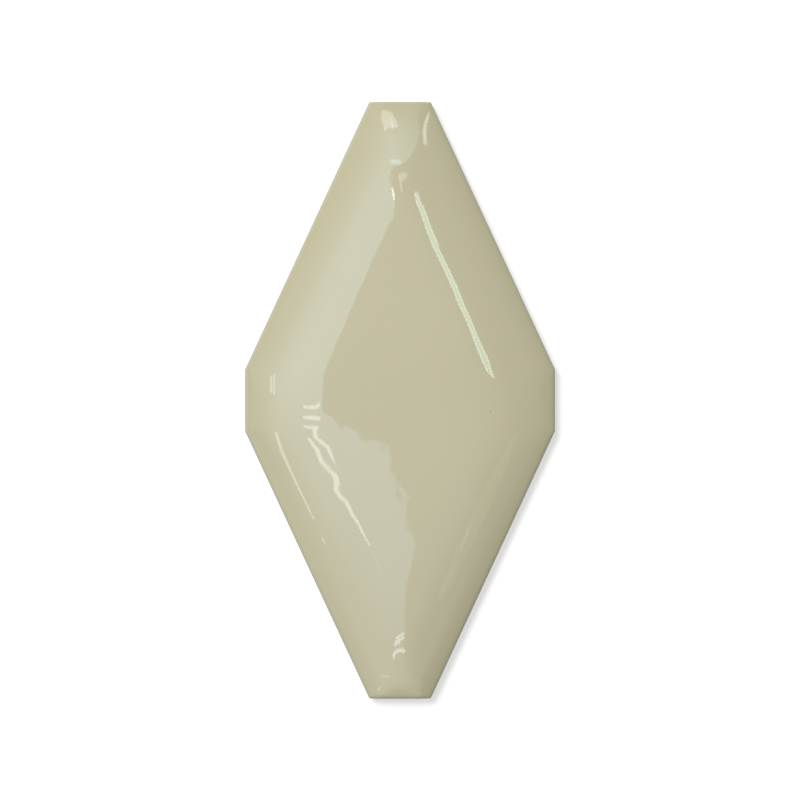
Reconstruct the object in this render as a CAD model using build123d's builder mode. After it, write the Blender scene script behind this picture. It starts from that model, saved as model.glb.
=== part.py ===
import os
from math import ceil, floor, hypot

from build123d import *

# Outline, in millimetres: a long rhombus with its four tips cut off square
LENGTH = 198.0
WIDTH = 103.0
TIP_CUT = 20.5

# Section: upright sides, then a cushion that rolls up to a flat crown
EDGE_HEIGHT = 6.0
CUSHION_RISE = 4.5
SHOULDER_WIDTH = 32.0
SHOULDER_POWER = 3.0
HIP_POWER = 6.0
TIP_OVERRUN = 3.0
ARRIS_RADIUS = 2.0
PATCH_STEP = 4.0
PATCH_TOLERANCE = 0.02

# Back: a plain chamfer and shallow grooves that key the tile into its adhesive
BACK_CHAMFER = 0.5
KEY_DEPTH = 0.7
KEY_DRAFT = 30.0
KEY_PITCH = 9.0
RIB_WIDTH = 3.5
RIM_WIDTH = 7.0

# All four long sides lean by the same run over rise, and the cushion starts a little beyond both end cuts
lean = (WIDTH - TIP_CUT) / (LENGTH - TIP_CUT)
half_short = WIDTH / 2 + lean * TIP_CUT / 2
half_long = half_short / lean
cushion_end = LENGTH / 2 + TIP_OVERRUN
normal_x = 1 / hypot(1, lean)
normal_y = lean / hypot(1, lean)


def long_side_reach(x, y):
    """Distance of a point in from the long side that faces +X and +Y."""
    return (half_short - x) * normal_x - y * normal_y


def edge_reach(x, y):
    """Distance of a point in from the cushion's foot, with the hips between slopes rounded."""
    reaches = [WIDTH / 2 - x, WIDTH / 2 + x, cushion_end - y, cushion_end + y]
    for flip_x in (1, -1):
        for flip_y in (1, -1):
            reaches.append(long_side_reach(flip_x * x, flip_y * y))
    nearest = min(reaches)
    if nearest <= 0:
        return nearest
    return sum(reach**-HIP_POWER for reach in reaches) ** (-1 / HIP_POWER)


def cushion_height(x, y):
    """Height of the glazed face over the back."""
    still_to_go = max(0, 1 - edge_reach(x, y) / SHOULDER_WIDTH)
    return EDGE_HEIGHT + CUSHION_RISE * (1 - still_to_go**SHOULDER_POWER)


def steps_over(size):
    """Even positions over a size and one patch step beyond each end."""
    count = ceil(size / PATCH_STEP) + 2
    return [(i / count - 0.5) * (size + 2 * PATCH_STEP) for i in range(count + 1)]


# Glazed face: one smooth patch, a little larger than the outline
cushion = Face.make_surface_from_array_of_points(
    [[(x, y, cushion_height(x, y)) for y in steps_over(LENGTH)] for x in steps_over(WIDTH)],
    tol=PATCH_TOLERANCE,
    min_deg=3,
)

# Grooves in the back stop inside a plain rim, with a rib on the centre line
groove_width = KEY_PITCH - RIB_WIDTH
grooves_a_side = floor((WIDTH / 2 - RIM_WIDTH + RIB_WIDTH / 2) / KEY_PITCH)
inner_short = half_short - RIM_WIDTH / normal_x
inner_long = half_long - RIM_WIDTH / normal_y

with BuildPart() as tile:
    # Straight pressed blank
    with BuildSketch():
        Polygon((half_short, 0), (0, half_long), (-half_short, 0), (0, -half_long))
        Rectangle(WIDTH, LENGTH, mode=Mode.INTERSECT)
    extrude(amount=EDGE_HEIGHT + 2 * CUSHION_RISE)

    # Cushioned face with a rolled arris all round
    split(bisect_by=cushion, keep=Keep.BOTTOM)
    fillet(tile.faces().sort_by(Axis.Z)[-1].edges(), ARRIS_RADIUS)

    # Keyed back
    chamfer(tile.faces().sort_by(Axis.Z)[0].edges(), BACK_CHAMFER)
    with BuildSketch():
        with GridLocations(KEY_PITCH, 0, 2 * grooves_a_side, 1):
            Rectangle(groove_width, LENGTH)
        Polygon(
            (inner_short, 0), (0, inner_long), (-inner_short, 0), (0, -inner_long), mode=Mode.INTERSECT
        )
        Rectangle(WIDTH - 2 * RIM_WIDTH, LENGTH - 2 * RIM_WIDTH, mode=Mode.INTERSECT)
    extrude(amount=KEY_DEPTH, taper=KEY_DRAFT, mode=Mode.SUBTRACT)

tile.part.label = "tile"

os.makedirs("parts", exist_ok=True)
export_step(tile.part, "parts/tile.step")
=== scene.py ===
import math

import bpy
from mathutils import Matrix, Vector, noise
from mathutils.geometry import delaunay_2d_cdt


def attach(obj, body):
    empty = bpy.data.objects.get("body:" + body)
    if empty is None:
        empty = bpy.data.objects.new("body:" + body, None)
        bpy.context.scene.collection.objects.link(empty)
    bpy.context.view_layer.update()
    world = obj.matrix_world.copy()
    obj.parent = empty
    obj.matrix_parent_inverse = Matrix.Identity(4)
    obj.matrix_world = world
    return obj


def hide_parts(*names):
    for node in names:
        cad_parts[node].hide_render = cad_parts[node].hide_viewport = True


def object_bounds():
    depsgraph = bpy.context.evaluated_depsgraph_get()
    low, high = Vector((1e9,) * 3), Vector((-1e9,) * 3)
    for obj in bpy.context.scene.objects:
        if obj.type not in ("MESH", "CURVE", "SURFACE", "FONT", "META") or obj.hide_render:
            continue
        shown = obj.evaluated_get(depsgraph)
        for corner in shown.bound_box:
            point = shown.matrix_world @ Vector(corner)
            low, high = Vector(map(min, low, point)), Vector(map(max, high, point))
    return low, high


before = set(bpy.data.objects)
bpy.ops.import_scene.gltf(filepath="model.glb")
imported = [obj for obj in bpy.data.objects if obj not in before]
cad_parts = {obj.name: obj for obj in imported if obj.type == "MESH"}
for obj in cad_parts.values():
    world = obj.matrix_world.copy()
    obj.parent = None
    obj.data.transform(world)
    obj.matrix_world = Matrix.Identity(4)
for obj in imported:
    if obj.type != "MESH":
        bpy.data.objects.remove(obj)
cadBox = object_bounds()
scene = bpy.context.scene
scene.view_settings.view_transform = "Standard"

mm = 0.001

# tile sizes in mm, the outer ones taken from the frame
tile = {
    "length": (cadBox[1].y - cadBox[0].y) / mm,
    "width": (cadBox[1].x - cadBox[0].x) / mm,
    "tipCut": 20.5,
    "tipOverrun": 3.0,  # the cushion starts this far beyond the cut ends
    "cornerRadius": 0.6,
    "cornerSteps": 5,
    "edgeHeight": 6.0,
    "cushionRise": 4.5,
    "shoulderWidth": 32.0,
    "shoulderPower": 3.0,
    "hipPower": 6.0,  # higher for sharper hips
    "arrisRadius": 2.0,
    "meshStep": 0.8,
    "rimRings": (0.0, 0.04, 0.16, 0.4),  # rings of quads on the arris, mm in from the outline
    "rimRows": (0.7, 1.0, 1.4, 1.9, 2.5),  # rows of points between them and the open face
    "gridMargin": 0.6,  # share of meshStep left free inside the last row
}

lean = (tile["width"] - tile["tipCut"]) / (tile["length"] - tile["tipCut"])
sideTilt = math.atan(lean)
longReach = (tile["width"] / 2 + lean * tile["tipCut"] / 2) * math.cos(sideTilt)

# the eight sides, anticlockwise from +X: angle of the outward normal, distance from the middle, overrun
sides = [
    (0, tile["width"] / 2, 0),
    (sideTilt, longReach, 0),
    (math.pi / 2, tile["length"] / 2, tile["tipOverrun"]),
    (math.pi - sideTilt, longReach, 0),
    (math.pi, tile["width"] / 2, 0),
    (math.pi + sideTilt, longReach, 0),
    (math.pi * 3 / 2, tile["length"] / 2, tile["tipOverrun"]),
    (math.pi * 2 - sideTilt, longReach, 0),
]
sideLines = [(math.cos(a), math.sin(a), reach) for a, reach, overrun in sides]
footLines = [(math.cos(a), math.sin(a), reach + overrun) for a, reach, overrun in sides]


def edgeGap(x, y):
    return min(c - nx * x - ny * y for nx, ny, c in sideLines)


def reachIn(x, y):
    # distance in from the foot of the cushion, rounded off over the hips
    reaches = [c - nx * x - ny * y for nx, ny, c in footLines]
    nearest = min(reaches)
    if nearest <= 0:
        return nearest
    return sum(r ** -tile["hipPower"] for r in reaches) ** (-1 / tile["hipPower"])


def cushionHeight(x, y):
    toGo = max(0, 1 - reachIn(x, y) / tile["shoulderWidth"])
    return tile["edgeHeight"] + tile["cushionRise"] * (1 - toGo ** tile["shoulderPower"])


# the arris rolls over this far in from the outline
footSlope = tile["cushionRise"] * tile["shoulderPower"] / tile["shoulderWidth"]
rollWidth = tile["arrisRadius"] * (1 - math.sin(math.atan(footSlope)))


def rollDrop(gap):
    across = max(0, 1 - gap / rollWidth)
    return rollWidth * (1 - math.sqrt(1 - across * across))


def smooth(low, high, value):
    t = min(1, max(0, (value - low) / (high - low)))
    return t * t * (3 - 2 * t)


# waves that the glaze froze into: slow ones on the shoulders, livelier towards one corner,
# and a ripple and a swell on the crown
glazeWaves = {
    "shoulderFrom": (2.0, 8.0),  # mm in from the foot of the cushion over which the slow ones set in
    "shoulderTo": (20.0, 29.0),  # and over which they die away
    "crownFrom": (18.0, 27.0),   # over which those of the crown set in
    "quietDepth": 0.010,
    "livelyDepth": 0.022,
    "livelyTowards": (-0.6, -0.8),
    "livelyReach": (0.0, 30.0),  # mm that way from the middle over which they build up
    "longStep": 10.0,  # mm between the slow ones
    "rippleDepth": 0.0034,
    "rippleStep": 2.6,
    "swellDepth": 0.006,
    "swellStep": 7.0,
    "seed": Vector((3.7, 8.1, 1.3)),
}


def waveHeight(x, y):
    reach = reachIn(x, y)
    onShoulder = smooth(*glazeWaves["shoulderFrom"], reach) * (1 - smooth(*glazeWaves["shoulderTo"], reach))
    onCrown = smooth(*glazeWaves["crownFrom"], reach)
    thatWay = glazeWaves["livelyTowards"][0] * x + glazeWaves["livelyTowards"][1] * y
    lively = smooth(*glazeWaves["livelyReach"], thatWay)
    depth = glazeWaves["quietDepth"] + (glazeWaves["livelyDepth"] - glazeWaves["quietDepth"]) * lively
    place = Vector((x, y, 0))
    seed = glazeWaves["seed"]
    wave = noise.noise(place / glazeWaves["longStep"] + seed)
    ripple = glazeWaves["rippleDepth"] * noise.noise(place / glazeWaves["rippleStep"] - seed)
    swell = glazeWaves["swellDepth"] * noise.noise(place / glazeWaves["swellStep"] + 2 * seed)
    return depth * onShoulder * wave + onCrown * (ripple + swell)


def wavedHeight(x, y):
    return cushionHeight(x, y) + waveHeight(x, y)


# pits in the glaze: place in mm, radius, depth
pinholes = [(30.2, -3.9, 0.45, 0.4)]

# mesh round a pit: clear ground and rings in shares of its radius, then points on a ring
pitMesh = {"clear": 2.2, "rings": (0.3, 0.6, 0.9, 1.3, 1.8), "spokes": 16}


def faceHeight(x, y, gap):
    height = wavedHeight(x, y) - rollDrop(gap)
    for px, py, radius, depth in pinholes:
        away = math.hypot(x - px, y - py)
        height -= depth * (1 - smooth(0, radius, away))
    return height


def cornerOf(i, inset):
    # corner between side i and the next one, with all sides moved in
    n1x, n1y, c1 = sideLines[i]
    n2x, n2y, c2 = sideLines[(i + 1) % len(sides)]
    c1, c2 = c1 - inset, c2 - inset
    det = n1x * n2y - n1y * n2x
    return Vector(((c1 * n2y - c2 * n1y) / det, (c2 * n1x - c1 * n2x) / det))


def outlineSamples():
    # points of the outline's core, each with its outward direction
    samples = []
    for i in range(len(sides)):
        start = cornerOf(i - 1, tile["cornerRadius"])
        end = cornerOf(i, tile["cornerRadius"])
        angle = sides[i][0]
        outward = Vector((math.cos(angle), math.sin(angle)))
        count = max(2, round((end - start).length / tile["meshStep"]))
        for k in range(count + 1):
            samples.append((start.lerp(end, k / count), outward))
        nextAngle = sides[(i + 1) % len(sides)][0]
        turn = (nextAngle - angle) % (2 * math.pi)
        for k in range(1, tile["cornerSteps"]):
            a = angle + turn * k / tile["cornerSteps"]
            samples.append((end, Vector((math.cos(a), math.sin(a)))))
    return samples


samples = outlineSamples()
ringSize = len(samples)


def ringPoint(i, inset):
    core, outward = samples[i]
    return core + outward * (tile["cornerRadius"] - inset)


class TileMesh:
    def __init__(self):
        self.points = []
        self.faces = []
        self.finish = []
        self.reach = []

    def addPoint(self, x, y, z, reach=0.0):
        self.points.append((x * mm, y * mm, z * mm))
        self.reach.append(reach)
        return len(self.points) - 1

    def addFace(self, corners, finish):
        self.faces.append(corners)
        self.finish.append(finish)

    def joinRings(self, upper, lower, finish):
        for i in range(len(upper)):
            j = (i + 1) % len(upper)
            self.addFace((upper[i], lower[i], lower[j], upper[j]), finish)


glazed, bare = 0, 1
insideOnly, weldGap = 1, 1e-6  # for the triangulation: no faces outside the outer loop
mesh = TileMesh()


def faceRing(inset):
    ring = []
    for i in range(ringSize):
        p = ringPoint(i, inset)
        ring.append(mesh.addPoint(p.x, p.y, faceHeight(p.x, p.y, inset), inset))
    return ring


def rimPoints():
    # rows that follow the outline
    points = []
    for inset in tile["rimRows"]:
        for i in range(len(sides)):
            start, end = cornerOf(i - 1, inset), cornerOf(i, inset)
            count = round((end - start).length / tile["meshStep"])
            points += [start.lerp(end, k / count) for k in range(count)]
    return points


def openFacePoints():
    # even grid inside the last row, with finer rings round each pit
    margin = tile["rimRows"][-1] + tile["gridMargin"] * tile["meshStep"]
    points = []
    rows = int(tile["length"] / 2 / tile["meshStep"])
    columns = int(tile["width"] / 2 / tile["meshStep"])
    for row in range(-rows, rows + 1):
        for column in range(-columns, columns + 1):
            x = (column + 0.5 * (row % 2)) * tile["meshStep"]
            y = row * tile["meshStep"]
            clear = all(
                math.hypot(x - px, y - py) >= pitMesh["clear"] * radius for px, py, radius, depth in pinholes
            )
            if clear and edgeGap(x, y) >= margin:
                points.append(Vector((x, y)))
    for px, py, radius, depth in pinholes:
        points.append(Vector((px, py)))
        for share in pitMesh["rings"]:
            for k in range(pitMesh["spokes"]):
                a = 2 * math.pi * (k + share) / pitMesh["spokes"]
                points.append(Vector((px + share * radius * math.cos(a), py + share * radius * math.sin(a))))
    return points


def buildFace():
    rings = [faceRing(inset) for inset in tile["rimRings"]]
    for outer, inner in zip(rings, rings[1:]):
        mesh.joinRings(inner, outer, glazed)
    border = [ringPoint(i, tile["rimRings"][-1]) for i in range(ringSize)]
    inside = rimPoints() + openFacePoints()
    edges = [(i, (i + 1) % ringSize) for i in range(ringSize)]
    flat, _, triangles, origin, _, _ = delaunay_2d_cdt(border + inside, edges, [], insideOnly, weldGap)
    index = []
    for p, source in zip(flat, origin):
        if source and source[0] < ringSize:
            index.append(rings[-1][source[0]])
        else:
            gap = edgeGap(p.x, p.y)
            index.append(mesh.addPoint(p.x, p.y, faceHeight(p.x, p.y, gap), gap))
    for corners in triangles:
        mesh.addFace(tuple(index[c] for c in corners), glazed)
    return rings[0]


# glaze that runs over the arris and stops part way down the sides
glazeRun = {
    "lip": 2.4,          # mean height of its lower edge over the back
    "wander": 0.8,       # how far that edge rises and falls
    "wanderStep": 11.0,  # mm along the side between swings
    "fineSwing": 0.4,    # share of smaller swings
    "fineRate": 3.1,     # and how many times as close they are
    "thickness": 0.14,   # step from glaze down to bare body
    "bead": 0.3,         # height of the rounded lower edge
    "beadSection": ((0.08, 0.55), (0.35, 0.2), (1.0, 0.0)),  # shares of the step in and of the height left
    "glazedRows": (0.35, 0.7, 1.0),  # shares of the way from the arris down to the bead
    "bareRows": (0.8, 0.3, 0.0),     # shares of the way from the chamfer up to the bead
}


def lipHeight(i):
    place = ringPoint(i, 0).to_3d() / glazeRun["wanderStep"]
    swing = noise.noise(place) + glazeRun["fineSwing"] * noise.noise(place * glazeRun["fineRate"])
    return glazeRun["lip"] + glazeRun["wander"] * swing


# keyed back
backKeys = {
    "chamfer": 0.5,
    "chamferSection": ((0.55, 0.35), (1.0, 0.0)),  # shares of it in and up
    "depth": 0.7,
    "draft": math.radians(30),
    "pitch": 9.0,
    "ribWidth": 3.5,
    "rimWidth": 7.0,
    "softEdge": 0.12,
    "mouthSection": ((-1.0, 0.0), (0.1, 0.8)),   # shares of the soft edge in and up
    "floorSection": ((-0.5, -1.0), (1.0, 0.0)),  # the same from the corner of a groove's floor
}


def buildSides(topRing):
    # rows of points down the sides: inset, height at every outline sample, finish of the faces above
    bead, step, chamfer = glazeRun["bead"], glazeRun["thickness"], backKeys["chamfer"]
    tops = [mesh.points[i][2] / mm for i in topRing]
    lips = [lipHeight(i) for i in range(ringSize)]
    rows = []
    for share in glazeRun["glazedRows"]:
        rows.append((0, [top + (lip + bead - top) * share for top, lip in zip(tops, lips)], glazed))
    for inset, share in glazeRun["beadSection"]:
        rows.append((inset * step, [lip + share * bead for lip in lips], glazed))
    for share in glazeRun["bareRows"]:
        rows.append((step, [chamfer + (lip - chamfer) * share for lip in lips], bare))
    for inset, share in backKeys["chamferSection"]:
        rows.append((inset * chamfer, [share * chamfer] * ringSize, bare))
    previous = topRing
    for inset, heights, finish in rows:
        ring = []
        for i in range(ringSize):
            p = ringPoint(i, inset)
            ring.append(mesh.addPoint(p.x, p.y, heights[i]))
        mesh.joinRings(previous, ring, finish)
        previous = ring
    return previous


def clipped(polygon, nx, ny, c):
    # part of a convex polygon on the inner side of a line
    kept = []
    for a, b in zip(polygon, polygon[1:] + polygon[:1]):
        da, db = c - nx * a.x - ny * a.y, c - nx * b.x - ny * b.y
        if da >= 0:
            kept.append(a)
        if da * db < 0:
            kept.append(a.lerp(b, da / (da - db)))
    return kept


def movedIn(polygon, inset):
    # convex anticlockwise polygon with all its sides moved in
    lines = []
    for a, b in zip(polygon, polygon[1:] + polygon[:1]):
        along = (b - a).normalized()
        lines.append((along.y, -along.x, along.y * a.x - along.x * a.y - inset))
    corners = []
    for i in range(len(lines)):
        n1x, n1y, c1 = lines[i - 1]
        n2x, n2y, c2 = lines[i]
        det = n1x * n2y - n1y * n2x
        corners.append(Vector(((c1 * n2y - c2 * n1y) / det, (c2 * n1x - c1 * n2x) / det)))
    return corners


def grooveOutlines():
    pitch, rim = backKeys["pitch"], backKeys["rimWidth"]
    half = (pitch - backKeys["ribWidth"]) / 2
    aSide = math.floor((tile["width"] / 2 - rim + backKeys["ribWidth"] / 2) / pitch)
    outlines = []
    for k in range(-aSide, aSide):
        left, right, top = (k + 0.5) * pitch - half, (k + 0.5) * pitch + half, tile["length"] / 2
        strip = [Vector((left, -top)), Vector((right, -top)), Vector((right, top)), Vector((left, top))]
        for nx, ny, c in sideLines:
            strip = clipped(strip, nx, ny, c - rim)
        outlines.append(strip)
    return outlines


def insideOf(point, polygon):
    return all((b - a).cross(point - a) > 0 for a, b in zip(polygon, polygon[1:] + polygon[:1]))


def buildBack(bottomRing):
    soft, depth = backKeys["softEdge"], backKeys["depth"]
    taper = depth * math.tan(backKeys["draft"])
    section = [(across * soft, up * soft) for across, up in backKeys["mouthSection"]]
    section += [(taper + across * soft, depth + up * soft) for across, up in backKeys["floorSection"]]
    points = [ringPoint(i, backKeys["chamfer"]) for i in range(ringSize)]
    known = list(bottomRing)
    edges = [(i, (i + 1) % ringSize) for i in range(ringSize)]
    mouths = []
    for outline in grooveOutlines():
        loops = []
        for inset, height in section:
            loops.append([mesh.addPoint(p.x, p.y, height) for p in movedIn(outline, inset)])
        for upper, lower in zip(loops, loops[1:]):
            mesh.joinRings(lower, upper, bare)
        mesh.addFace(tuple(reversed(loops[-1])), bare)
        mouth = movedIn(outline, -soft)
        first = len(points)
        points += mouth
        known += loops[0]
        edges += [(first + k, first + (k + 1) % len(mouth)) for k in range(len(mouth))]
        mouths.append(mouth)
    flat, _, triangles, origin, _, _ = delaunay_2d_cdt(points, edges, [], insideOnly, weldGap)
    for corners in triangles:
        middle = sum((flat[c] for c in corners), Vector((0, 0))) / len(corners)
        if any(insideOf(middle, mouth) for mouth in mouths):
            continue
        mesh.addFace(tuple(known[origin[c][0]] for c in reversed(corners)), bare)


topRing = buildFace()
print("glazed face:", len(mesh.faces), "faces")
bottomRing = buildSides(topRing)
buildBack(bottomRing)
print("whole tile:", len(mesh.faces), "faces")

tileMesh = bpy.data.meshes.new("cushion_tile")
tileMesh.from_pydata(mesh.points, [], mesh.faces)
tileMesh.polygons.foreach_set("material_index", mesh.finish)
tileMesh.polygons.foreach_set("use_smooth", [finish == glazed for finish in mesh.finish])
reachStore = tileMesh.attributes.new("edgeReach", "FLOAT", "POINT")
reachStore.data.foreach_set("value", mesh.reach)
tileMesh.update()


def addObject(name, data):
    made = bpy.data.objects.new(name, data)
    scene.collection.objects.link(made)
    return made


tileObject = addObject("cushion_tile", tileMesh)


def newMaterial(name):
    material = bpy.data.materials.new(name)
    material.cycles.emission_sampling = "NONE"  # glowing cards are seen by reflections only
    material.use_nodes = True
    tree = material.node_tree
    tree.nodes.clear()
    return material, tree


def addNode(tree, kind, inputs=None, **settings):
    node = tree.nodes.new(kind)
    for key, value in settings.items():
        setattr(node, key, value)
    for key, value in (inputs or {}).items():
        if isinstance(value, bpy.types.NodeSocket):
            tree.links.new(value, node.inputs[key])
        else:
            node.inputs[key].default_value = value
    return node


def mathNode(tree, operation, first, second):
    return addNode(tree, "ShaderNodeMath", {0: first, 1: second}, operation=operation).outputs[0]


def softStep(tree, value, reach, levels=(0.0, 1.0)):
    # smooth change from one level to the other while the value crosses a reach
    return addNode(
        tree,
        "ShaderNodeMapRange",
        {
            "Value": value,
            "From Min": reach[0],
            "From Max": reach[1],
            "To Min": levels[0],
            "To Max": levels[1],
        },
        interpolation_type="SMOOTHSTEP",
    ).outputs[0]


def mixTones(tree, factor, first, second):
    # the mix node's colour sockets are its seventh and eighth
    return addNode(tree, "ShaderNodeMix", {0: factor, 6: first, 7: second}, data_type="RGBA").outputs[2]


tint, number = "NodeSocketColor", "NodeSocketFloat"


def newGroup(name, inputs, outputs):
    tree = bpy.data.node_groups.new(name, "ShaderNodeTree")
    for label, kind in inputs.items():
        tree.interface.new_socket(name=label, in_out="INPUT", socket_type=kind)
    for label, kind in outputs.items():
        tree.interface.new_socket(name=label, in_out="OUTPUT", socket_type=kind)
    return tree, tree.nodes.new("NodeGroupInput").outputs, tree.nodes.new("NodeGroupOutput").inputs


def placeGroup(tree, group, inputs):
    node = tree.nodes.new("ShaderNodeGroup")
    node.node_tree = group
    for key, value in inputs.items():
        node.inputs[key].default_value = value
    return node


# what all fired surfaces share: a slow drift of tone, iron flecks in loose patches, gloss in clouds
fired = {
    "driftDetail": 3.0,
    "driftRoughness": 0.55,
    "fleckFade": (0.06, 0.22),  # share of a fleck's cell over which it fades out
    "patchScale": 90.0,
    "patchDetail": 1.0,
    "patchReach": (0.55, 0.75),
    "cloudScale": 45.0,
    "cloudDetail": 2.0,
    "cloudReach": (0.3, 0.7),
}


def makeFiredTone():
    tree, given, out = newGroup(
        "firedTone",
        {
            "Tone": tint,
            "Fleck Tone": tint,
            "Drift": number,
            "Drift Scale": number,
            "Fleck": number,
            "Fleck Scale": number,
        },
        {"Color": tint},
    )
    where = addNode(tree, "ShaderNodeTexCoord").outputs["Object"]
    slow = addNode(
        tree,
        "ShaderNodeTexNoise",
        {
            "Vector": where,
            "Scale": given["Drift Scale"],
            "Detail": fired["driftDetail"],
            "Roughness": fired["driftRoughness"],
        },
    )
    swing = mathNode(tree, "SUBTRACT", slow.outputs["Fac"], 0.5)
    swing = mathNode(tree, "MULTIPLY", swing, given["Drift"])
    gain = mathNode(tree, "ADD", swing, 1.0)
    drifted = addNode(tree, "ShaderNodeVectorMath", {0: given["Tone"], "Scale": gain}, operation="SCALE")
    cells = addNode(tree, "ShaderNodeTexVoronoi", {"Vector": where, "Scale": given["Fleck Scale"]})
    patches = addNode(
        tree,
        "ShaderNodeTexNoise",
        {"Vector": where, "Scale": fired["patchScale"], "Detail": fired["patchDetail"]},
    )
    fleck = softStep(tree, cells.outputs["Distance"], fired["fleckFade"], (1.0, 0.0))
    here = softStep(tree, patches.outputs["Fac"], fired["patchReach"])
    mask = mathNode(tree, "MULTIPLY", fleck, here)
    mask = mathNode(tree, "MULTIPLY", mask, given["Fleck"])
    flecked = mixTones(tree, mask, drifted.outputs[0], given["Fleck Tone"])
    tree.links.new(flecked, out["Color"])
    return tree


def makeFiredGloss():
    tree, given, out = newGroup("firedGloss", {"Smooth": number, "Rough": number}, {"Roughness": number})
    where = addNode(tree, "ShaderNodeTexCoord").outputs["Object"]
    cloud = addNode(
        tree,
        "ShaderNodeTexNoise",
        {"Vector": where, "Scale": fired["cloudScale"], "Detail": fired["cloudDetail"]},
    )
    rough = addNode(
        tree,
        "ShaderNodeMapRange",
        {
            "Value": cloud.outputs["Fac"],
            "From Min": fired["cloudReach"][0],
            "From Max": fired["cloudReach"][1],
            "To Min": given["Smooth"],
            "To Max": given["Rough"],
        },
    )
    tree.links.new(rough.outputs[0], out["Roughness"])
    return tree


firedTone = makeFiredTone()
firedGloss = makeFiredGloss()


def placeFired(tree, finish):
    # colour and roughness of one fired surface
    tone = placeGroup(
        tree,
        firedTone,
        {
            "Tone": finish["tone"],
            "Fleck Tone": finish["fleckTone"],
            "Drift": finish["drift"],
            "Drift Scale": finish["driftScale"],
            "Fleck": finish["fleck"],
            "Fleck Scale": finish["fleckScale"],
        },
    )
    gloss = placeGroup(tree, firedGloss, {"Smooth": finish["smooth"], "Rough": finish["rough"]})
    return tone.outputs["Color"], gloss.outputs["Roughness"]


# greyish-beige gloss glaze
glaze = {
    "tone": (0.500, 0.470, 0.318, 1),
    "rimShadeTone": (0.480, 0.450, 0.293, 1),  # painted shade: darker glaze towards the arris, where the rolled rim turns from the light
    "rimShadeReach": (0.0, 7.0),
    "fleckTone": (0.25, 0.23, 0.16, 1),
    "drift": 0.05,
    "driftScale": 28.0,
    "fleck": 0.04,
    "fleckScale": 380.0,
    "smooth": 0.02,
    "rough": 0.03,
    "ior": 1.52,
}


def makeGlaze():
    material, tree = newMaterial("beigeGlaze")
    color, roughness = placeFired(tree, glaze)
    reach = addNode(tree, "ShaderNodeAttribute", attribute_name="edgeReach").outputs["Fac"]
    # painted shade: the glaze tone darkens over the last few mm in from the outline
    rimShade = softStep(tree, reach, glaze["rimShadeReach"], (1.0, 0.0))
    rimShaded = mixTones(tree, rimShade, color, glaze["rimShadeTone"])
    shader = addNode(
        tree,
        "ShaderNodeBsdfPrincipled",
        {"Base Color": rimShaded, "Roughness": roughness, "IOR": glaze["ior"]},
    )
    addNode(tree, "ShaderNodeOutputMaterial", {"Surface": shader.outputs[0]})
    return material


# bare pressed body
biscuit = {
    "tone": (0.66, 0.58, 0.46, 1),
    "fleckTone": (0.36, 0.28, 0.20, 1),
    "drift": 0.16,
    "driftScale": 60.0,
    "fleck": 0.7,
    "fleckScale": 900.0,
    "smooth": 0.75,
    "rough": 0.92,
    "grainScale": 1500.0,
    "grainDetail": 4.0,
    "grainRoughness": 0.6,
    "grainDepth": 0.0002,
}


def makeBiscuit():
    material, tree = newMaterial("bareBody")
    color, roughness = placeFired(tree, biscuit)
    where = addNode(tree, "ShaderNodeTexCoord").outputs["Object"]
    grain = addNode(
        tree,
        "ShaderNodeTexNoise",
        {
            "Vector": where,
            "Scale": biscuit["grainScale"],
            "Detail": biscuit["grainDetail"],
            "Roughness": biscuit["grainRoughness"],
        },
    )
    bump = addNode(
        tree, "ShaderNodeBump", {"Height": grain.outputs["Fac"], "Distance": biscuit["grainDepth"]}
    )
    shader = addNode(
        tree,
        "ShaderNodeBsdfPrincipled",
        {"Base Color": color, "Roughness": roughness, "Normal": bump.outputs[0]},
    )
    addNode(tree, "ShaderNodeOutputMaterial", {"Surface": shader.outputs[0]})
    return material


tileMesh.materials.append(makeGlaze())
tileMesh.materials.append(makeBiscuit())
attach(tileObject, "root")
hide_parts("tile")
print("materials done")

# camera straight above, long diagonal upright in the picture
shot = {
    "height": 0.8,
    "planeHeight": 0.0055,  # the height at which the tile has its length in the picture
    "tileLength": 596.9,    # that length in pixels
    "imageSize": 800,
    "drop": 0.25,           # pixels that its middle lies below the picture's
    "sensor": 36.0,
}
cameraData = bpy.data.cameras.new("camera")
cameraData.sensor_width = shot["sensor"]
framed = tile["length"] * mm * shot["imageSize"] / shot["tileLength"]
cameraData.lens = shot["sensor"] * (shot["height"] - shot["planeHeight"]) / framed
cameraData.shift_y = shot["drop"] / shot["imageSize"]
cameraObject = addObject("camera", cameraData)
cameraObject.location = (0, 0, shot["height"])
scene.camera = cameraObject

# floor and room
room = {
    "floorSize": 6.0,
    "floorTone": (0.50, 0.50, 0.50, 1),
    "floorRoughness": 0.9,
    "floorLift": 0.60,  # own light of the floor for the camera and for reflections
    "ambient": 0.20,
    "white": (1, 1, 1, 1),
}


def whiteRays(tree):
    # 1 for rays from the camera or a mirror-like surface
    path = addNode(tree, "ShaderNodeLightPath").outputs
    return mathNode(tree, "MAXIMUM", path["Is Camera Ray"], path["Is Glossy Ray"])


def squareCorners(half):
    return [(-half, -half), (half, -half), (half, half), (-half, half)]


def makeFloor():
    floorMesh = bpy.data.meshes.new("floor")
    corners = [(x, y, 0) for x, y in squareCorners(room["floorSize"] / 2)]
    floorMesh.from_pydata(corners, [], [(0, 1, 2, 3)])
    floor = addObject("floor", floorMesh)
    material, tree = newMaterial("paleFloor")
    lift = mathNode(tree, "MULTIPLY", whiteRays(tree), room["floorLift"])
    shader = addNode(
        tree,
        "ShaderNodeBsdfPrincipled",
        {
            "Base Color": room["floorTone"],
            "Roughness": room["floorRoughness"],
            "Specular IOR Level": 0.0,
            "Emission Color": room["white"],
            "Emission Strength": lift,
        },
    )
    addNode(tree, "ShaderNodeOutputMaterial", {"Surface": shader.outputs[0]})
    floorMesh.materials.append(material)


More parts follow.
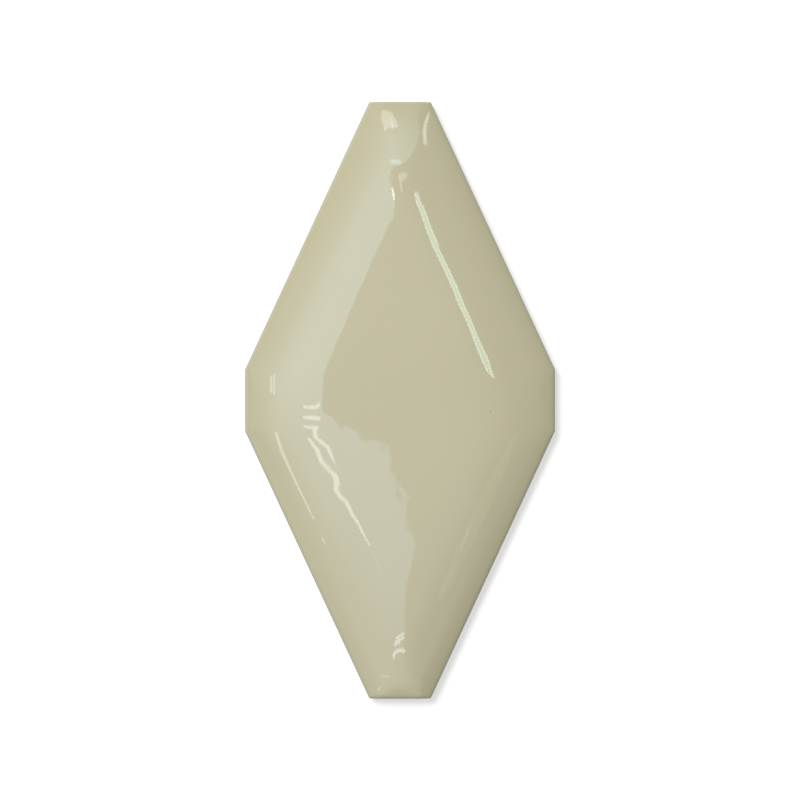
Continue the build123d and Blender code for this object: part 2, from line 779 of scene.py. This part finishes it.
def makeWorld():
    world = bpy.data.worlds.new("room")
    world.use_nodes = True
    tree = world.node_tree
    tree.nodes.clear()
    dim = addNode(tree, "ShaderNodeBackground", {"Color": room["white"], "Strength": room["ambient"]})
    white = addNode(tree, "ShaderNodeBackground", {"Color": room["white"], "Strength": 1.0})
    mixed = addNode(
        tree, "ShaderNodeMixShader", {0: whiteRays(tree), 1: dim.outputs[0], 2: white.outputs[0]}
    )
    addNode(tree, "ShaderNodeOutputWorld", {"Surface": mixed.outputs[0]})
    scene.world = world


# soft lamp for the shading, with no highlight of its own
keyLamp = {
    "power": 16.8,
    "size": 0.6,
    "distance": 1.3,
    "offZenith": math.radians(28),
    "azimuth": math.radians(134),
}


def makeKeyLamp():
    lamp = bpy.data.lights.new("key_lamp", "AREA")
    lamp.shape = "DISK"
    lamp.size = keyLamp["size"]
    lamp.energy = keyLamp["power"]
    holder = addObject("key_lamp", lamp)
    out = math.sin(keyLamp["offZenith"])
    towards = Vector((
        out * math.cos(keyLamp["azimuth"]),
        out * math.sin(keyLamp["azimuth"]),
        math.cos(keyLamp["offZenith"]),
    ))
    holder.location = towards * keyLamp["distance"]
    holder.rotation_euler = towards.to_track_quat("Z", "Y").to_euler()
    holder.visible_glossy = False


def addCard(name, points, faces, height, material):
    # glowing card that only reflections see
    cardMesh = bpy.data.meshes.new(name)
    cardMesh.from_pydata([(x, y, 0) for x, y in points], [], faces)
    cardMesh.materials.append(material)
    card = addObject(name, cardMesh)
    card.location.z = height
    card.visible_camera = False
    card.visible_diffuse = False
    card.visible_shadow = False


# pale ceiling that the gloss mirrors, dimmer away from one place
ceiling = {
    "height": 1.6,
    "halfSize": 3.0,
    "level": 1.0,
    "dimLevel": 0.2,
    "brightPlace": (-0.25, -0.4, 0),
    "dimReach": (0.45, 0.95),
    "footLevel": 0.9,  # more light beyond the tile's foot
    "footReach": (-0.38, -0.75),
    "footSide": (1.1, 0.7),  # and none of it over to the right
}


def makeCeilingGlow():
    # level of the ceiling's own light over its plan
    tree, _, out = newGroup("ceilingGlow", {}, {"Level": number})
    where = addNode(tree, "ShaderNodeTexCoord").outputs["Object"]
    parts = addNode(tree, "ShaderNodeSeparateXYZ", {0: where}).outputs
    away = addNode(tree, "ShaderNodeVectorMath", {0: where, 1: ceiling["brightPlace"]}, operation="DISTANCE")
    levels = (ceiling["level"], ceiling["dimLevel"])
    level = softStep(tree, away.outputs["Value"], ceiling["dimReach"], levels)
    foot = softStep(tree, parts["Y"], ceiling["footReach"], (0.0, ceiling["footLevel"]))
    side = softStep(tree, parts["X"], ceiling["footSide"])
    total = mathNode(tree, "ADD", level, mathNode(tree, "MULTIPLY", foot, side))
    tree.links.new(total, out["Level"])
    return tree


def makeCeiling(glow):
    material, tree = newMaterial("paleCeiling")
    level = placeGroup(tree, glow, {}).outputs["Level"]
    shine = addNode(tree, "ShaderNodeEmission", {"Strength": level})
    addNode(tree, "ShaderNodeOutputMaterial", {"Surface": shine.outputs[0]})
    addCard("ceiling", squareCorners(ceiling["halfSize"]), [(0, 1, 2, 3)], ceiling["height"], material)


def mirrorPlace(x, y, height, heightAt):
    # where a thing at that height has to hang for the camera to see it mirrored in the face
    eye = Vector((0, 0, shot["height"] / mm))
    nearer = (eye.z - heightAt(x, y)) / (eye.z - shot["planeHeight"] / mm)
    x, y, step = x * nearer, y * nearer, tile["meshStep"] / 2
    slopeX = (heightAt(x + step, y) - heightAt(x - step, y)) / (2 * step)
    slopeY = (heightAt(x, y + step) - heightAt(x, y - step)) / (2 * step)
    spot = Vector((x, y, heightAt(x, y)))
    onward = (spot - eye).reflect(Vector((-slopeX, -slopeY, 1)).normalized())
    place = spot + onward * (height / mm - spot.z) / onward.z
    return place.x * mm, place.y * mm


lineStep = 1.2  # mm between the points worked out along a line


def stepsAlong(line):
    # the line's own points with even steps between them
    steps = [Vector(line[0])]
    for start, end in zip(line, line[1:]):
        start, end = Vector(start), Vector(end)
        count = math.ceil((end - start).length / lineStep)
        steps += [start.lerp(end, (k + 1) / count) for k in range(count)]
    return steps


# large soft panel under the ceiling: its near edge as mirrored in the face, in mm,
# then its far corners in the room, in m
panel = {
    "height": 1.5,
    "edge": [
        (1.7, -76), (2.0, -62), (4.6, -53), (4.6, -46.5), (2.0, -40.5), (3.0, -34), (0, -29), (-3.6, -23),
        (-3.6, -18), (-5.3, -14), (-11, -14), (-17.2, -9), (-20, -9.5), (-23, -6), (-25.5, -4), (-26, 0),
        (-25.5, 8.7), (-20, 21.5), (-15, 33.3), (-8, 49), (-1.8, 61.5), (-1.8, 66), (-3.6, 74.5),
        (-2.7, 77.4), (1.3, 78.7), (3.6, 81), (5.6, 84.7), (6.6, 89),
    ],
    "farCorners": [(0.9, 1.6), (-1.4, 1.6), (-1.4, -1.6), (0.4, -1.6)],
    "strength": 1.95,  # over the ceiling's own level
    "tone": (0.73, 1.0, 1.19, 1),
    "fadeAcross": (-1.0, -0.33),
    "farShare": 0.3,   # what the fade across leaves
    "fadeAlong": [
        (-0.65, 0.0), (-0.4, 0.4), (-0.2, 0.65), (-0.05, 0.77), (0.06, 1.0), (0.35, 1.0), (0.75, 0.25),
        (1.3, 0.0),
    ],
    "alongSpan": 1.5,  # m each way over which the fade along is spread
}


def makePanel(glow):
    material, tree = newMaterial("softPanel")
    base = placeGroup(tree, glow, {}).outputs["Level"]
    where = addNode(tree, "ShaderNodeTexCoord").outputs["Object"]
    parts = addNode(tree, "ShaderNodeSeparateXYZ", {0: where}).outputs
    across = softStep(tree, parts["X"], panel["fadeAcross"], (panel["farShare"], 1.0))
    span = panel["alongSpan"]
    along = addNode(tree, "ShaderNodeMapRange", {"Value": parts["Y"], "From Min": -span, "From Max": span})
    ramp = addNode(tree, "ShaderNodeValToRGB", {"Fac": along.outputs[0]})
    stops = ramp.color_ramp.elements
    for n, (y, share) in enumerate(panel["fadeAlong"]):
        place = 0.5 + 0.5 * y / span
        stop = stops[n] if n < 2 else stops.new(place)  # a ramp comes with two
        stop.position = place
        stop.color = (share, share, share, 1)
    share = mathNode(tree, "MULTIPLY", across, ramp.outputs["Color"])
    extra = mathNode(tree, "MULTIPLY", share, panel["strength"])
    shine = addNode(tree, "ShaderNodeEmission", {"Color": panel["tone"], "Strength": extra})
    under = addNode(tree, "ShaderNodeEmission", {"Strength": base})
    both = addNode(tree, "ShaderNodeAddShader", {0: under.outputs[0], 1: shine.outputs[0]})
    addNode(tree, "ShaderNodeOutputMaterial", {"Surface": both.outputs[0]})
    outline = [mirrorPlace(x, y, panel["height"], cushionHeight) for x, y in stepsAlong(panel["edge"])]
    outline += panel["farCorners"]
    addCard("soft_panel", outline, [tuple(range(len(outline)))], panel["height"], material)


# lamps hung just below the panel, each where the camera sees it mirrored along a line on the face
lampHeight = 1.49
whiteLight = (0.96, 1.0, 0.95)
greenLight = (0.60, 1.0, 0.84)
warmLight = (1.0, 0.90, 0.78)

# the long streak has brighter edges
streakEdges = {"strength": 3.6, "width": 0.55}

# strength over what hangs behind, colour, then places along the line in mm with its width there
highlights = {
    "longStreak": (4.4, greenLight, [
        (5.4, 69, 1.2), (5.8, 66.4, 1.5), (7.4, 63.1, 1.9), (9.7, 56.5, 1.9), (11.1, 53.1, 2.2),
        (12.3, 49.8, 1.7), (15.6, 43.1, 1.8), (18.5, 36.6, 1.9), (19.7, 33.2, 1.9), (22.8, 26.6, 1.7),
        (25.4, 20, 1.8), (26.8, 16.7, 2.1), (28.3, 13.3, 2.4), (29.5, 10, 1.7), (31.2, 7.4, 0.4),
    ]),
    "sideBarLeft": (3.8, greenLight, [(-42.8, 8.0, 0.6), (-42.8, 2.4, 0.6)]),
    "sideBarRight": (3.8, greenLight, [(-41.8, 8.7, 0.6), (-41.8, 2.0, 0.6)]),
    "outerStreak": (3.4, whiteLight, [
        (-41.2, -10.5, 0.9), (-39.4, -16.5, 1.1), (-36.5, -23, 0.9), (-33.2, -30, 0.7), (-28.5, -39.7, 0.4),
    ]),
    "outerDash": (3.0, whiteLight, [(-25.9, -45.4, 0.5), (-24.9, -47.4, 0.5)]),
    "dashUpper": (4.2, whiteLight, [
        (-32, -2.3, 1.0), (-28.4, -2.4, 1.3), (-27.2, -1.9, 1.3), (-26.6, -1.0, 0.5),
    ]),
    "dashLower": (4.4, whiteLight, [(-32.2, -5.6, 0.8), (-30, -5.8, 1.5), (-26.5, -6.0, 1.3)]),
    "hook": (4.2, whiteLight, [(-32, -8.6, 0.5), (-29.6, -9.0, 1.1), (-27, -9.0, 1.0)]),
    "innerStrand": (4.4, whiteLight, [
        (-28.2, -9.4, 1.6), (-28.2, -11.9, 1.3), (-26.5, -13.6, 1.2), (-24.2, -15.4, 1.2),
        (-23.2, -17.2, 1.1), (-22.2, -19.8, 0.9), (-21.6, -20.9, 0.4),
    ]),
    "outerStrand": (4.5, whiteLight, [
        (-30.5, -12.4, 0.6), (-27.5, -16.5, 1.4), (-26, -20.5, 1.4), (-23, -23.7, 1.3), (-21.6, -25, 1.7),
        (-21, -27.4, 2.0), (-21.3, -29.8, 1.6), (-20, -31.8, 1.4), (-17.6, -34, 1.2), (-15.6, -38.4, 1.1),
        (-14, -40.6, 0.9), (-12.2, -44.4, 0.7), (-11, -46.4, 0.6), (-10, -48.3, 0.4),
    ]),
    "strandTrail": (1.0, whiteLight, [(-9.3, -49.5, 0.4), (-8, -53, 0.6), (-6.6, -57.1, 0.4)]),
    "topPatch": (2.7, whiteLight, [
        (-5.8, 95.8, 1.2), (-4.5, 94.4, 4.0), (-3.5, 92.2, 4.6), (-2.8, 89.9, 4.7),
    ]),
    "topPatchStreak": (2.6, whiteLight, [(-3.3, 94.2, 0.6), (-2.8, 92.4, 1.0), (-2.2, 90.1, 1.0)]),
    "topCurve": (5.0, whiteLight, [(9.5, 95.6, 0.7), (8.4, 91.6, 1.2), (8.1, 89, 1.2), (8.4, 85, 1.1)]),
    "topBar": (3.4, greenLight, [(-3.2, 79.3, 1.5), (0.3, 79.0, 1.5)]),
    "topFlag": (2.8, warmLight, [(1.2, 75.2, 2.9), (1.1, 74, 1.7), (0.7, 72.8, 0.4)]),
    "topStem": (3.8, warmLight, [(-0.2, 74.9, 0.6), (0.6, 69.3, 0.5)]),
    "topSpark": (9.0, whiteLight, [(-2.6, 70.4, 0.4), (-2.2, 68.5, 0.8), (-1.9, 66.4, 0.3)]),
    "topWisp": (1.6, warmLight, [(-3.6, 76.4, 0.5), (-2.3, 73.4, 0.5)]),
    "footBarUpper": (5.2, whiteLight, [(1.4, -77.2, 0.7), (-1.3, -79.2, 0.9)]),
    "footBarMiddle": (5.2, whiteLight, [(1.4, -78.6, 0.8), (-1.7, -80.5, 0.9)]),
    "footBarLower": (5.0, whiteLight, [(0, -80.5, 0.6), (-2, -81.3, 0.7)]),
    "footArch": (4.8, whiteLight, [
        (-2.2, -85.7, 0.6), (-1.9, -84.2, 1.0), (-0.9, -83.2, 1.3), (0.7, -82.9, 1.4), (1.6, -83.7, 1.0),
    ]),
    "footDash": (1.6, whiteLight, [(-6.0, -91.6, 0.7), (-3.6, -91.6, 0.7)]),
    "footEnd": (3.0, whiteLight, [(-7.3, -96.6, 0.5), (-6.6, -95.2, 0.5)]),
    "faintBand": (0.5, greenLight, [(39, -10.5, 1.5), (31, -28, 4.0), (22, -47, 4.5), (13.3, -66.3, 2.5)]),
    "faintDashUpper": (0.7, greenLight, [(28.4, -35.2, 0.4), (26.4, -39.8, 0.6)]),
    "faintDashMiddle": (1.8, greenLight, [(23.3, -41.8, 0.4), (21.5, -46, 0.7), (19.9, -49.7, 0.4)]),
    "faintDashLower": (1.6, greenLight, [(15.4, -60.4, 0.4), (13.6, -63.8, 0.5)]),
}


def acrossLine(steps, n):
    along = steps[min(len(steps) - 1, n + 1)] - steps[max(0, n - 1)]
    return Vector((-along.y, along.x)).normalized()


def makeLamp(name, strength, tone, line):
    material, tree = newMaterial(name + "Lamp")
    shine = addNode(tree, "ShaderNodeEmission", {"Color": (*tone, 1), "Strength": strength})
    clear = addNode(tree, "ShaderNodeBsdfTransparent")
    both = addNode(tree, "ShaderNodeAddShader", {0: clear.outputs[0], 1: shine.outputs[0]})
    addNode(tree, "ShaderNodeOutputMaterial", {"Surface": both.outputs[0]})
    steps = stepsAlong(line)
    points, faces = [], []
    for n, (x, y, width) in enumerate(steps):
        side = acrossLine(steps, n) * width / 2
        points.append(mirrorPlace(x - side.x, y - side.y, lampHeight, wavedHeight))
        points.append(mirrorPlace(x + side.x, y + side.y, lampHeight, wavedHeight))
        if n:
            faces.append((2 * n - 2, 2 * n, 2 * n + 1, 2 * n - 1))
    addCard(name, points, faces, lampHeight, material)


def streakEdge(line, way):
    # line along one edge of a wider one
    steps = stepsAlong(line)
    edge = []
    for n, (x, y, width) in enumerate(steps):
        side = acrossLine(steps, n) * way * max(0, width - streakEdges["width"]) / 2
        edge.append((x + side.x, y + side.y, min(width, streakEdges["width"])))
    return edge


def makeLamps():
    for name, (strength, tone, line) in highlights.items():
        makeLamp(name, strength, tone, line)
    for name, way in (("longStreakLeft", -1), ("longStreakRight", 1)):
        makeLamp(name, streakEdges["strength"], whiteLight, streakEdge(highlights["longStreak"][2], way))


makeFloor()
makeWorld()
makeKeyLamp()
ceilingGlow = makeCeilingGlow()
makeCeiling(ceilingGlow)
makePanel(ceilingGlow)
makeLamps()
print("floor and lights done")
